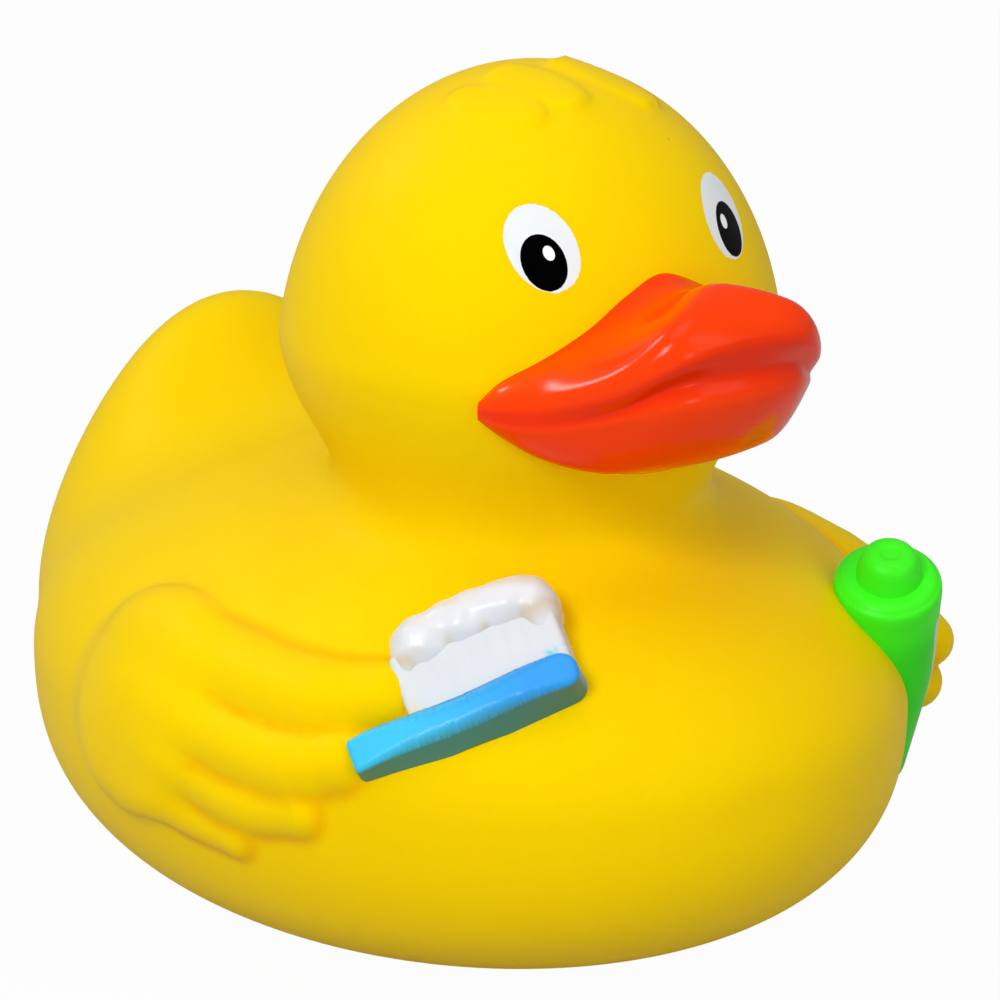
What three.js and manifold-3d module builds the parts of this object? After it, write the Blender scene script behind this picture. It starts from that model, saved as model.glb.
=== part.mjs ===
// Rubber bath duck, rotationally moulded in one piece of soft vinyl, with a whistle pressed into its base.
// Millimetres. The duck faces -y and z is up, so its left side is +x and its right side is -x.
// The right wing holds a toothbrush with paste on it, and the left wing holds a tube of toothpaste.
import * as THREE from "three";
import { mergeVertices } from "three/addons/utils/BufferGeometryUtils.js";
import Module from "manifold-3d";

// Driving dimensions: body, whose lower half is fuller than an ellipsoid
const bodyHalfWidth = 38.4;
const bodyHalfLength = 46.4;
const bodyRise = 21;
const bodyDrop = 22.7;
const bodyCentreHeight = 21.95;
const bellyFullness = 2.6;

// Driving dimensions: tail
const tailHalfWidth = 18;
const tailHalfLength = 12;
const tailRise = 29.3;
const tailDrop = 11;
const tailBack = 40;
const tailCentreHeight = 19.35;
const tailBlend = 14.4;

// Driving dimensions: head, whose cheeks draw in towards the neck more quickly than an ellipsoid
const headHalfWidth = 23.5;
const headHalfDepth = 22;
const crownHeight = 28;
const headForward = 10.7;
const headCentreHeight = 53.35;
const cheekRise = 4;
const cheekDepth = 21;
const cheekFullness = 1.7;
const neckBlend = 9.5;

// Driving dimensions: moulding
const wall = 1.8;
const baseWall = 2.6;

// Driving dimensions: tuft of feathers on the crown
const lockWidth = 4.4;
const lockProud = 0.5;

// Driving dimensions: bill, whose root follows an ellipsoid of its own below the head's centre
const billCornerBearing = 47;
const billReach = 12;
const billRootDepth = 17;

// Driving dimensions: wings
const palmHalfLength = 9.5;
const palmHalfHeight = 10;
const palmDepth = 4;
const rightPalm = { bearing: 87, lift: 13, sink: 2.3 };
const leftPalm = { bearing: 87, lift: -4, sink: 3 };
const fingerSides = 11;
const fingerSteps = 8;

// Driving dimensions: toothbrush
const brushLength = 22.4;
const brushStart = 1.2;
const brushThickness = 3.2;
const brushDrop = 1.15;
const brushEndProud = 2.4;
const brushTipProud = 3.8;
const brushBuried = 8;
const bristleStart = 6.8;
const bristleTop = 5.5;
const bristleInset = 0.5;
const tuftPitch = 1.7;
const pasteDepth = 4;

// Driving dimensions: paste tube
const tubeRadius = 4.9;
const tubeProud = 3.7;
const tubeSides = 20;
const crimpSink = 1.6;
const capRadius = 3;
const capHeight = 2.9;
const capFoot = 0.9;

// Driving dimensions: whistle and its hole
const holeRadius = 6.5;
const recessRadius = 8.6;
const recessDepth = 1.1;
const fitClearance = 0.3;
const soundHoleRadius = 1.25;
const whistleHeight = 7;
const snapLip = 0.9;
const flangeChamfer = 0.2;
const lipHeight = 0.8;
const noseTaper = 0.6;

// Fineness of the faceted skins and turned parts
const skinCell = 3.9;
const cavityCell = 7;
const settlePasses = 5;
const evenPasses = 4;
const evenShare = 0.6;
const turnedSides = 36;

const degrees = Math.PI / 180;
const point = (x, y, z) => new THREE.Vector3(x, y, z);
const wasm = await Module();
wasm.setup();

// Solids
function toSolid(geometry) {
  const bare = geometry.clone();
  bare.deleteAttribute("normal");
  bare.deleteAttribute("uv");
  const merged = mergeVertices(bare, 1e-4);
  const mesh = new wasm.Mesh({
    numProp: 3,
    vertProperties: new Float32Array(merged.attributes.position.array),
    triVerts: new Uint32Array(merged.index.array),
  });
  return new wasm.Manifold(mesh);
}

function toGeometry(solid) {
  const mesh = solid.getMesh();
  const geometry = new THREE.BufferGeometry();
  geometry.setAttribute("position", new THREE.BufferAttribute(mesh.vertProperties.slice(), 3));
  geometry.setIndex(new THREE.BufferAttribute(mesh.triVerts.slice(), 1));
  geometry.computeVertexNormals();
  return geometry;
}

function toFacets(positions, faces) {
  const geometry = new THREE.BufferGeometry();
  geometry.setAttribute("position", new THREE.Float32BufferAttribute(positions, 3));
  geometry.setIndex(faces);
  return geometry;
}

// Signed distance to an ellipsoid, negative inside; a fullness over 2 squares its upright section
function ellipsoidField(dx, dy, dz, rx, ry, rz, fullness = 2) {
  const near = (Math.hypot(dx / rx, dy / ry) ** fullness + Math.abs(dz / rz) ** fullness) ** (1 / fullness);
  const slope = Math.hypot(dx / (rx * rx), dy / (ry * ry), dz / (rz * rz));
  return slope === 0 ? -Math.min(rx, ry, rz) : (near * (near - 1)) / slope;
}

function blend(a, b, radius) {
  const share = Math.max(radius - Math.abs(a - b), 0) / radius;
  return Math.min(a, b) - (share * share * radius) / 4;
}

function torsoField(x, y, z) {
  const dz = z - bodyCentreHeight;
  const upper = dz > 0;
  return ellipsoidField(
    x, y, dz, bodyHalfWidth, bodyHalfLength, upper ? bodyRise : bodyDrop, upper ? 2 : bellyFullness);
}

function tailField(x, y, z) {
  const dz = z - tailCentreHeight;
  return ellipsoidField(x, y - tailBack, dz, tailHalfWidth, tailHalfLength, dz > 0 ? tailRise : tailDrop);
}

function headField(x, y, z) {
  const dz = z - headCentreHeight;
  const dy = y + headForward;
  if (dz > cheekRise) return ellipsoidField(x, dy, dz, headHalfWidth, headHalfDepth, crownHeight);
  const level = Math.sqrt(1 - (cheekRise / crownHeight) ** 2);
  return ellipsoidField(
    x, dy, dz - cheekRise, level * headHalfWidth, level * headHalfDepth, cheekDepth, cheekFullness);
}

function bodyField(x, y, z) {
  return blend(blend(torsoField(x, y, z), tailField(x, y, z), tailBlend), headField(x, y, z), neckBlend);
}

function slopeOf(field, p) {
  const step = 0.01;
  return point(
    field(p.x + step, p.y, p.z) - field(p.x - step, p.y, p.z),
    field(p.x, p.y + step, p.z) - field(p.x, p.y - step, p.z),
    field(p.x, p.y, p.z + step) - field(p.x, p.y, p.z - step),
  ).divideScalar(2 * step);
}

// Moves a point onto the skin, in steps that stay shorter than a cell
function settle(field, p, cell) {
  for (let pass = 0; pass < settlePasses; pass += 1) {
    const slope = slopeOf(field, p);
    const move = slope.multiplyScalar(-field(p.x, p.y, p.z) / Math.max(slope.lengthSq(), 0.1));
    p.add(move.clampLength(0, cell / (settlePasses + 1)));
  }
  return p;
}

// Draws each vertex to the middle of its neighbours and back onto the skin, so that the facets even out
function evenOut(field, vertices, quads, cell) {
  for (let pass = 0; pass < evenPasses; pass += 1) {
    const sums = vertices.map(() => point(0, 0, 0));
    const counts = vertices.map(() => 0);
    for (const quad of quads) {
      for (let n = 0; n < 4; n += 1) {
        sums[quad[n]].add(vertices[quad[(n + 1) % 4]]);
        counts[quad[n]] += 1;
      }
    }
    vertices.forEach((vertex, n) => {
      vertex.lerp(sums[n].divideScalar(counts[n]), evenShare);
      settle(field, vertex, cell);
    });
  }
}

// A closed skin where a field is zero: one vertex for each grid cell that the surface crosses
function skin(field, low, high, cell) {
  const count = ["x", "y", "z"].map((axis) => Math.ceil((high[axis] - low[axis]) / cell) + 1);
  const at = (i, j, k) => (k * count[1] + j) * count[0] + i;
  const values = new Float32Array(count[0] * count[1] * count[2]);
  for (let k = 0; k < count[2]; k += 1) {
    for (let j = 0; j < count[1]; j += 1) {
      for (let i = 0; i < count[0]; i += 1) {
        values[at(i, j, k)] = field(low.x + i * cell, low.y + j * cell, low.z + k * cell);
      }
    }
  }
  const corners = [0, 1, 2, 3, 4, 5, 6, 7].map((n) => [n & 1, (n >> 1) & 1, n >> 2]);
  const edges = [
    [0, 1], [2, 3], [4, 5], [6, 7],
    [0, 2], [1, 3], [4, 6], [5, 7],
    [0, 4], [1, 5], [2, 6], [3, 7],
  ];
  const vertexOf = new Map();
  const vertices = [];
  for (let k = 0; k < count[2] - 1; k += 1) {
    for (let j = 0; j < count[1] - 1; j += 1) {
      for (let i = 0; i < count[0] - 1; i += 1) {
        const level = corners.map(([a, b, c]) => values[at(i + a, j + b, k + c)]);
        const crossed = edges.filter(([a, b]) => level[a] < 0 !== level[b] < 0);
        if (crossed.length === 0) continue;
        const sum = point(0, 0, 0);
        for (const [a, b] of crossed) {
          sum.add(point(...corners[a]).lerp(point(...corners[b]), level[a] / (level[a] - level[b])));
        }
        const vertex = sum.divideScalar(crossed.length).add(point(i, j, k));
        vertex.multiplyScalar(cell).add(low);
        vertexOf.set(at(i, j, k), vertices.length);
        vertices.push(settle(field, vertex, cell));
      }
    }
  }
  const quads = [];
  const addQuad = (ring, flip) => {
    const quad = ring.map((cellAt) => vertexOf.get(cellAt));
    quads.push(flip ? quad.reverse() : quad);
  };
  for (let k = 1; k < count[2] - 1; k += 1) {
    for (let j = 1; j < count[1] - 1; j += 1) {
      for (let i = 1; i < count[0] - 1; i += 1) {
        const inside = values[at(i, j, k)] < 0;
        if (inside !== values[at(i + 1, j, k)] < 0) {
          addQuad([at(i, j - 1, k - 1), at(i, j, k - 1), at(i, j, k), at(i, j - 1, k)], !inside);
        }
        if (inside !== values[at(i, j + 1, k)] < 0) {
          addQuad([at(i - 1, j, k - 1), at(i - 1, j, k), at(i, j, k), at(i, j, k - 1)], !inside);
        }
        if (inside !== values[at(i, j, k + 1)] < 0) {
          addQuad([at(i - 1, j - 1, k), at(i, j - 1, k), at(i, j, k), at(i - 1, j, k)], !inside);
        }
      }
    }
  }
  evenOut(field, vertices, quads, cell);
  const faces = quads.flatMap(([a, b, c, d]) => {
    const acrossAC = vertices[a].distanceTo(vertices[c]) < vertices[b].distanceTo(vertices[d]);
    return acrossAC ? [a, b, c, a, c, d] : [a, b, d, b, c, d];
  });
  return toFacets(vertices.flatMap((p) => p.toArray()), faces);
}

// A closed body through rings of points, each end closed by a fan round its middle
function loft(rings) {
  const size = rings[0].length;
  const positions = rings.flat().flatMap((p) => p.toArray());
  const faces = [];
  for (let ring = 0; ring < rings.length - 1; ring += 1) {
    for (let n = 0; n < size; n += 1) {
      const a = ring * size + n;
      const b = ring * size + ((n + 1) % size);
      faces.push(a, b, b + size, a, b + size, a + size);
    }
  }
  for (const [ring, flip] of [[0, true], [rings.length - 1, false]]) {
    const middle = rings[ring].reduce((sum, p) => sum.add(p), point(0, 0, 0)).divideScalar(size);
    const hub = positions.length / 3;
    positions.push(...middle.toArray());
    for (let n = 0; n < size; n += 1) {
      const a = ring * size + n;
      const b = ring * size + ((n + 1) % size);
      faces.push(...(flip ? [hub, b, a] : [hub, a, b]));
    }
  }
  return toFacets(positions, faces);
}

// A place on the torso: bearing round from the front, lift above its widest line, and distance outwards
function onBody(side, bearing, lift, proud = 0) {
  const up = Math.sin(lift * degrees);
  const fullness = up > 0 ? 2 : bellyFullness;
  const level = (1 - Math.abs(up) ** fullness) ** (1 / fullness);
  const place = point(
    side * Math.sin(bearing * degrees) * level * bodyHalfWidth,
    -Math.cos(bearing * degrees) * level * bodyHalfLength,
    bodyCentreHeight + up * (up > 0 ? bodyRise : bodyDrop));
  return place.addScaledVector(slopeOf(torsoField, place).normalize(), proud);
}

// Wings: four feather fingers fanning forward from the shoulder.
// Each stop is a bearing, a lift, and how far the finger's middle stands off the body.
const rightFingers = [
  {
    stops: [[103, 29, -4.6], [91, 28.5, -2.9], [77, 27, -2.6], [62, 24.5, -2.2], [51.5, 27.5, -1.4]],
    radii: [2.4, 4, 4.5, 4.4, 3.4],
  },
  {
    stops: [[99, 20.5, -4], [86, 15.3, -2.4], [74, 11, -2.1], [63, 8.6, -1.8], [55.5, 12, -1.2]],
    radii: [2.4, 3.6, 3.8, 3.7, 3],
  },
  {
    stops: [[96, 12.5, -3.4], [85.5, 5, -1.9], [76, 0, -1.6], [68.5, -3.4, -1.4], [60.5, -2.4, -1]],
    radii: [2, 2.8, 3, 3, 2.5],
  },
  {
    stops: [[94, 5.5, -3], [86, -3, -1.5], [78.7, -9.2, -1.3], [69.5, -12.6, -0.9]],
    radii: [1.8, 2.4, 2.6, 2.1],
  },
];
const leftFingers = [
  {
    stops: [[103, 22, -4.8], [91, 20.5, -2.9], [79, 16.5, -1.2], [68, 11, 0.8], [56, 6, 2.7]],
    radii: [2.4, 3.8, 4, 3.4, 2.6],
  },
  {
    stops: [[99, 19, -4], [86, 12, -2.2], [76, 5, -0.8], [67, 0, 0.8], [57, -4, 1.6]],
    radii: [2.4, 3.4, 3.4, 3, 2.6],
  },
  { stops: [[96, 10, -3.4], [86, 2, -1.9], [77, -5, -1.2], [67, -10, -0.6]], radii: [2, 2.8, 3, 2.5] },
  { stops: [[94, 3, -3], [86, -5, -1.5], [79, -12, -1.2], [71, -17, -0.9]], radii: [1.8, 2.4, 2.6, 2.1] },
];

// A round bar of changing radius along a smooth path, with domed ends
function makeFinger(path, radii) {
  const domeSteps = 2;
  const curve = new THREE.CatmullRomCurve3(path);
  const { tangents, normals, binormals } = curve.computeFrenetFrames(fingerSteps);
  const radiusAt = (share) => {
    const place = share * (radii.length - 1);
    const low = Math.min(Math.floor(place), radii.length - 2);
    return THREE.MathUtils.lerp(radii[low], radii[low + 1], THREE.MathUtils.smoothstep(place - low, 0, 1));
  };
  const ringAt = (centre, frame, radius) => Array.from({ length: fingerSides }, (_, n) => {
    const turn = (2 * Math.PI * n) / fingerSides;
    return centre.clone()
      .addScaledVector(normals[frame], radius * Math.cos(turn))
      .addScaledVector(binormals[frame], radius * Math.sin(turn));
  });
  const domeAt = (share, frame, direction) => Array.from({ length: domeSteps }, (_, n) => {
    const radius = radiusAt(share);
    const turn = ((n + 1) / (domeSteps + 0.5)) * (Math.PI / 2);
    const centre = curve.getPointAt(share);
    centre.addScaledVector(tangents[frame], direction * radius * Math.sin(turn));
    return ringAt(centre, frame, radius * Math.cos(turn));
  });
  const bar = Array.from({ length: fingerSteps + 1 }, (_, n) => {
    const share = n / fingerSteps;
    return ringAt(curve.getPointAt(share), n, radiusAt(share));
  });
  return loft([...domeAt(0, 0, -1).reverse(), ...bar, ...domeAt(1, fingerSteps, 1)]);
}

// A wing: its fingers, and the low pad they grow out of
function makeWing(side, fingers, { bearing: palmBearing, lift: palmLift, sink }) {
  const palm = new THREE.SphereGeometry(1, 20, 12);
  palm.scale(palmHalfLength, palmHalfHeight, palmDepth);
  const place = onBody(side, palmBearing, palmLift);
  const out = onBody(side, palmBearing, palmLift, 1).sub(place);
  const back = point(0, 1, 0).addScaledVector(out, -out.y).normalize();
  palm.applyMatrix4(new THREE.Matrix4().makeBasis(back, out.clone().cross(back), out)
    .setPosition(place.addScaledVector(out, -sink)));
  const bars = fingers.map(({ stops, radii }) => makeFinger(
    stops.map(([bearing, lift, standOff]) => onBody(side, bearing, lift, standOff)), radii));
  return [palm, ...bars].map(toSolid);
}

// Bill: upright profiles at bearings round the face, from the brow over the turned-up lip to the chin.
// Each line gives, from the middle of the bill to its corner, how far it stands off the head as a share of
// the reach, and its height over the head's centre.
const billStations = [0, 0.25, 0.45, 0.7, 0.9, 1];
const billLines = {
  brow: { off: [0.02, 0, 0, 0, 0, 0], height: [12.9, 11.4, 9.2, 6.7, 4.8, 3] },
  saddle: { off: [0.24, 0.26, 0.24, 0.16, 0.08, 0.02], height: [12, 10.5, 8.6, 6.2, 4.5, 2.9] },
  crest: { off: [0.7, 0.88, 0.68, 0.33, 0.15, 0.03], height: [13.6, 11.9, 7.7, 4.7, 3.6, 2.6] },
  nose: { off: [1, 0.98, 0.72, 0.36, 0.17, 0.03], height: [10.4, 9, 5.9, 3.6, 2.9, 2.4] },
  crease: { off: [0.85, 0.79, 0.56, 0.32, 0.16, 0.03], height: [6.8, 6.4, 4, 2.4, 2.2, 2.2] },
  lowerNose: { off: [0.84, 0.78, 0.57, 0.33, 0.16, 0.03], height: [3.8, 3.6, 2.4, 1.2, 1.4, 2] },
  under: { off: [0.5, 0.46, 0.34, 0.2, 0.09, 0.02], height: [-1.6, -1.7, -2.2, -1.3, 0.5, 1.6] },
  chin: { off: [0, 0, 0, 0, 0, 0], height: [-4.6, -4.3, -3.5, -1.8, 0.3, 1.5] },
};

function betweenStations(values, share) {
  const knots = values.map((value, n) => [billStations[n], value]);
  const both = [...knots.slice(1).reverse().map(([at, value]) => [-at, value]), ...knots];
  const after = THREE.MathUtils.clamp(both.findIndex(([at]) => at >= share), 1, both.length - 1);
  const knotAt = (n) => both[THREE.MathUtils.clamp(n, 0, both.length - 1)];
  const [p0, p1, p2, p3] = [-2, -1, 0, 1].map((step) => knotAt(after + step));
  const span = p2[0] - p1[0];
  const t = (share - p1[0]) / span;
  const slope1 = ((p2[1] - p0[1]) / (p2[0] - p0[0])) * span;
  const slope2 = ((p3[1] - p1[1]) / (p3[0] - p1[0])) * span;
  return (2 * t ** 3 - 3 * t ** 2 + 1) * p1[1] + (t ** 3 - 2 * t ** 2 + t) * slope1
    + (3 * t ** 2 - 2 * t ** 3) * p2[1] + (t ** 3 - t ** 2) * slope2;
}

function rootRadius(bearing, height) {
  const up = height / (height > 0 ? crownHeight : billRootDepth);
  const level = Math.hypot(Math.sin(bearing) / headHalfWidth, Math.cos(bearing) / headHalfDepth);
  return Math.sqrt(1 - up * up) / level;
}

function makeBill() {
  const ringCount = 22;
  const buried = 4;
  const rings = Array.from({ length: ringCount + 1 }, (_, n) => {
    const share = -Math.cos((Math.PI * n) / ringCount) * 0.999;
    const bearing = share * billCornerBearing * degrees;
    const place = ({ off, height }) => {
      const rise = betweenStations(height, Math.abs(share));
      const reach = betweenStations(off, Math.abs(share)) * billReach;
      return new THREE.Vector2(rootRadius(bearing, rise) + reach, rise);
    };
    const { brow, saddle, crest, nose, crease, lowerNose, under, chin } = billLines;
    const upper = new THREE.SplineCurve([brow, saddle, crest, nose, crease].map(place)).getPoints(12);
    const lower = new THREE.SplineCurve([crease, lowerNose, under, chin].map(place)).getPoints(7).slice(1);
    const inner = [chin, brow].map((line) => place(line).sub(new THREE.Vector2(buried, 0)));
    return [...upper, ...lower, ...inner].map(({ x: radius, y: rise }) => point(
      radius * Math.sin(bearing), -headForward - radius * Math.cos(bearing), headCentreHeight + rise));
  });
  return toSolid(loft(rings));
}

// Tuft: three low locks of feather combed forward and to the left over the crown.
// Each is a place across and forward of the crown, a turn and a length.
const locks = [[-7, 4.4, 20, 10], [-2.3, 4.2, 17, 12], [5, 4.2, 36, 13]];

function makeTuft() {
  return locks.map(([across, forward, turn, length]) => {
    const rise = crownHeight * Math.sqrt(1 - (across / headHalfWidth) ** 2 - (forward / headHalfDepth) ** 2);
    const lock = new THREE.SphereGeometry(1, 14, 8);
    lock.rotateX(Math.PI / 2);
    lock.scale(lockWidth / 2, length / 2, lockProud * 2);
    lock.rotateZ(turn * degrees);
    lock.rotateX(Math.atan((crownHeight ** 2 * forward) / (headHalfDepth ** 2 * rise)));
    lock.rotateY(Math.atan((crownHeight ** 2 * across) / (headHalfWidth ** 2 * rise)));
    lock.translate(across, -headForward - forward, headCentreHeight + rise - lockProud);
    return toSolid(lock);
  });
}

// Toothbrush: it lies across the breast, its bristles pointing up the slope.
// In its own frame x runs along the handle, y points out from the breast and z points down it.
function brushFrame() {
  const handleEnd = onBody(-1, 55, 13.6, brushEndProud);
  const tip = onBody(-1, 25.5, 32.3, brushTipProud);
  const along = tip.clone().sub(handleEnd).normalize();
  const out = onBody(-1, 39, 24, 1).sub(onBody(-1, 39, 24));
  out.addScaledVector(along, -out.dot(along)).normalize();
  const down = along.clone().cross(out);
  return new THREE.Matrix4().makeBasis(along, out, down).setPosition(handleEnd);
}

// Outline of the handle with its rounded tip, the face at y = 0 and the back buried in the breast
function handleOutline(bevel) {
  const endRadius = 3.2;
  const cornerRadius = 0.6;
  const face = -bevel;
  const start = brushStart + bevel;
  const tip = brushLength - bevel;
  const shape = new THREE.Shape();
  shape.moveTo(start, -brushBuried);
  shape.lineTo(tip, -brushBuried);
  shape.lineTo(tip, face - endRadius);
  shape.absarc(tip - endRadius, face - endRadius, endRadius, 0, Math.PI / 2, false);
  shape.absarc(start + cornerRadius, face - cornerRadius, cornerRadius, Math.PI / 2, Math.PI, false);
  return shape;
}

// Outline of the bristles, scalloped by a row of tufts, the last one turned in round the tip
function bristleOutline() {
  const room = brushLength - bristleInset - bristleStart;
  const tuftCount = Math.round(room / tuftPitch);
  const pitch = room / tuftCount;
  const bulge = 0.5;
  const turnedIn = 1.2;
  const shape = new THREE.Shape();
  shape.moveTo(bristleStart, -brushBuried);
  shape.lineTo(bristleStart + room, -brushBuried);
  for (let n = tuftCount; n > 0; n -= 1) {
    const face = -bristleInset - bulge - (n === tuftCount ? turnedIn : 0);
    shape.absellipse(bristleStart + (n - 0.5) * pitch, face, pitch / 2, bulge, 0, Math.PI, false);
  }
  return shape;
}

// Lumps of paste: place along the handle, rise over the bristles, half length and half height
const lumpPlaces = [
  [9.3, 1.5, 2.4, 2.8], [12.2, 1.6, 2.2, 2.7], [15.1, 1.7, 2.2, 2.7],
  [18.2, 2, 2.5, 2.9], [20.9, 1.5, 1.6, 3.2],
];

function makeBrush() {
  const bevel = 0.5;
  const overlap = 1;
  const handle = new THREE.ExtrudeGeometry(handleOutline(bevel), {
    depth: brushThickness - 2 * bevel,
    bevelSize: bevel,
    bevelThickness: bevel,
    bevelSegments: 2,
    curveSegments: 5,
  });
  handle.translate(0, 0, bevel - brushThickness / 2 + brushDrop);
  const bristleFoot = brushThickness / 2 - brushDrop;
  const bristles = new THREE.ExtrudeGeometry(bristleOutline(), {
    depth: bristleTop - bristleFoot + 2 * overlap,
    bevelEnabled: false,
    curveSegments: 4,
  });
  bristles.translate(0, 0, -bristleTop - overlap);
  const lumps = lumpPlaces.map(([place, rise, halfLength, halfHeight]) => {
    const lump = new THREE.SphereGeometry(1, 14, 10);
    lump.scale(halfLength, pasteDepth, halfHeight);
    lump.translate(place, bristleInset - pasteDepth, -bristleTop - rise);
    return lump;
  });
  return [handle, bristles, ...lumps].map((piece) => toSolid(piece.applyMatrix4(brushFrame())));
}

// Tube of paste: a cap on a rounded shoulder, above a body that flattens and sinks towards its crimped end
function makeTube() {
  const shoulder = onBody(1, 40, 27, tubeProud);
  const crimp = onBody(1, 54, -17.5, -crimpSink);
  const length = shoulder.distanceTo(crimp);
  const along = shoulder.clone().sub(crimp).divideScalar(length);
  const out = onBody(1, 51, 4, 1).sub(onBody(1, 51, 4));
  out.addScaledVector(along, -out.dot(along)).normalize();
  const across = along.clone().cross(out);
  const foot = length + capFoot;
  const capShare = capRadius / tubeRadius;
  // Rise from the crimp, then half width and half thickness as shares of the tube's radius
  const sections = [
    [0, 1.15, 0.55], [0.2 * length, 1.14, 0.72], [0.5 * length, 1.08, 0.94], [0.85 * length, 1.01, 1],
    [length, 1, 1], [length + 0.45, 0.93, 0.93], [length + 0.8, 0.8, 0.8],
    [foot, capShare, capShare], [foot + 0.6 * capHeight, 0.93 * capShare, 0.93 * capShare],
    [foot + 0.9 * capHeight, 0.72 * capShare, 0.72 * capShare],
    [foot + capHeight, 0.4 * capShare, 0.4 * capShare],
  ];
  const ringAt = ([rise, wide, thick]) => Array.from({ length: tubeSides }, (_, n) => {
    const turn = (2 * Math.PI * n) / tubeSides;
    return crimp.clone()
      .addScaledVector(along, rise)
      .addScaledVector(across, -wide * tubeRadius * Math.cos(turn))
      .addScaledVector(out, thick * tubeRadius * Math.sin(turn));
  });
  return toSolid(loft(sections.map(ringAt)));
}

function makeCylinder(radius, low, high) {
  const geometry = new THREE.CylinderGeometry(radius, radius, high - low, turnedSides);
  geometry.rotateX(Math.PI / 2);
  geometry.translate(0, 0, (low + high) / 2);
  return toSolid(geometry);
}

// Body shell: everything moulded together, hollow, with the whistle's hole through its base
function makeBody() {
  const margin = 3 * skinCell;
  const reach = Math.max(bodyHalfWidth, bodyHalfLength, tailBack + tailHalfLength + tailBlend / 4) + margin;
  const lowest = Math.min(bodyCentreHeight - bodyDrop, tailCentreHeight - tailDrop);
  const highest = Math.max(headCentreHeight + crownHeight, tailCentreHeight + tailRise);
  const low = point(-reach, -reach, lowest - margin);
  const high = point(reach, reach, highest + margin);
  const details = [
    ...makeWing(-1, rightFingers, rightPalm), ...makeWing(1, leftFingers, leftPalm),
    makeBill(), ...makeTuft(), ...makeBrush(), makeTube(),
  ];
  const plain = toSolid(skin(bodyField, low, high, skinCell));
  const whole = details.reduce((solid, detail) => solid.add(detail), plain);
  const ground = new THREE.BoxGeometry(4 * reach, 4 * reach, 2 * reach);
  ground.translate(0, 0, -reach);
  const cavityField = (x, y, z) => Math.max(bodyField(x, y, z) + wall, baseWall - z);
  return [
    toSolid(ground), toSolid(skin(cavityField, low, high, cavityCell)),
    makeCylinder(holeRadius, -1, 2 * baseWall), makeCylinder(recessRadius, -1, recessDepth),
  ].reduce((solid, cut) => solid.subtract(cut), whole);
}

// Whistle: a turned plug whose groove grips the edge of the hole, with a sound hole down its middle
function makeWhistle() {
  const flange = recessRadius - fitClearance;
  const barrel = holeRadius - fitClearance;
  const lip = holeRadius + snapLip;
  const seat = recessDepth - fitClearance;
  const inside = baseWall + fitClearance;
  const under = fitClearance;
  const nose = barrel - noseTaper;
  const top = under + whistleHeight;
  const profile = [
    [soundHoleRadius, under], [flange - flangeChamfer, under], [flange, under + flangeChamfer],
    [flange, seat], [barrel, seat], [barrel, inside], [lip, inside], [lip, inside + lipHeight],
    [nose, inside + 2 * lipHeight], [nose, top], [soundHoleRadius, top], [soundHoleRadius, under],
  ].map(([radius, height]) => new THREE.Vector2(radius, height));
  const geometry = new THREE.LatheGeometry(profile, turnedSides);
  geometry.rotateX(Math.PI / 2);
  return toSolid(geometry);
}

const makeMaterial = (name, color, roughness) => (
  new THREE.MeshStandardMaterial({ name, color, roughness, metalness: 0 }));
const vinyl = makeMaterial("yellow_vinyl", "#fbdb17", 0.42);
const plastic = makeMaterial("whistle_plastic", "#f0efe6", 0.4);

const duckBody = new THREE.Mesh(toGeometry(makeBody()), vinyl);
duckBody.name = "duck_body";
const squeaker = new THREE.Mesh(toGeometry(makeWhistle()), plastic);
squeaker.name = "squeaker";

// The origin is under the middle of the duck's own box, on the surface it stands on
const duck = new THREE.Group();
duck.add(duckBody, squeaker);
const box = new THREE.Box3().setFromObject(duck);
const middle = box.getCenter(new THREE.Vector3());
duck.position.set(-middle.x, -middle.y, -box.min.z);

export default duck;
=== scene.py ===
import math

import bpy
import numpy as np
from mathutils import Matrix, Vector


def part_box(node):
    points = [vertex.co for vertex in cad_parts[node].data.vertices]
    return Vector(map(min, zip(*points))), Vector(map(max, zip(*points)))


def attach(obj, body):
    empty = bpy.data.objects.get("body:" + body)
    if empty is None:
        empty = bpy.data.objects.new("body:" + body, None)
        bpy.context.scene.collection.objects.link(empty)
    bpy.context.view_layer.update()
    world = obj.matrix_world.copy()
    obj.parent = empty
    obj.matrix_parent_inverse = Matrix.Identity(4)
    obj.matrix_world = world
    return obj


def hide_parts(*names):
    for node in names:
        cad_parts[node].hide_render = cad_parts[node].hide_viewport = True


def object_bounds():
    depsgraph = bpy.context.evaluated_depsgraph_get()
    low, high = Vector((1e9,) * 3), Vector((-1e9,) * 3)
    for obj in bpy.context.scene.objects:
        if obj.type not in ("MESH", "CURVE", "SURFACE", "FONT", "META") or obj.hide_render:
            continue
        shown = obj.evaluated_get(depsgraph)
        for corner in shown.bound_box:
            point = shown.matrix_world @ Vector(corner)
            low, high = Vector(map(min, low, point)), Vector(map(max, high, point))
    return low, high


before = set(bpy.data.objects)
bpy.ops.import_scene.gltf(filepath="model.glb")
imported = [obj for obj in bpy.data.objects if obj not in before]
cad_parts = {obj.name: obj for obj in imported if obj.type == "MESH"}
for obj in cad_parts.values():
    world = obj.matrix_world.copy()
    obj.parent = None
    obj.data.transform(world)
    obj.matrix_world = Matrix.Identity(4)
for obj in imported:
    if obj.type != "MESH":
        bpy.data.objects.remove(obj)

cadBounds = [list(corner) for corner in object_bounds()]
bpy.ops.object.select_all(action="DESELECT")

# sizes below are millimetres in the duck's own frame, whose z axis runs up the middle of its whistle
mm = 0.001
whistleLow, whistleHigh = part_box("squeaker")
duckMiddle = np.array([whistleLow.x + whistleHigh.x, whistleLow.y + whistleHigh.y, 0]) / 2

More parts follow.
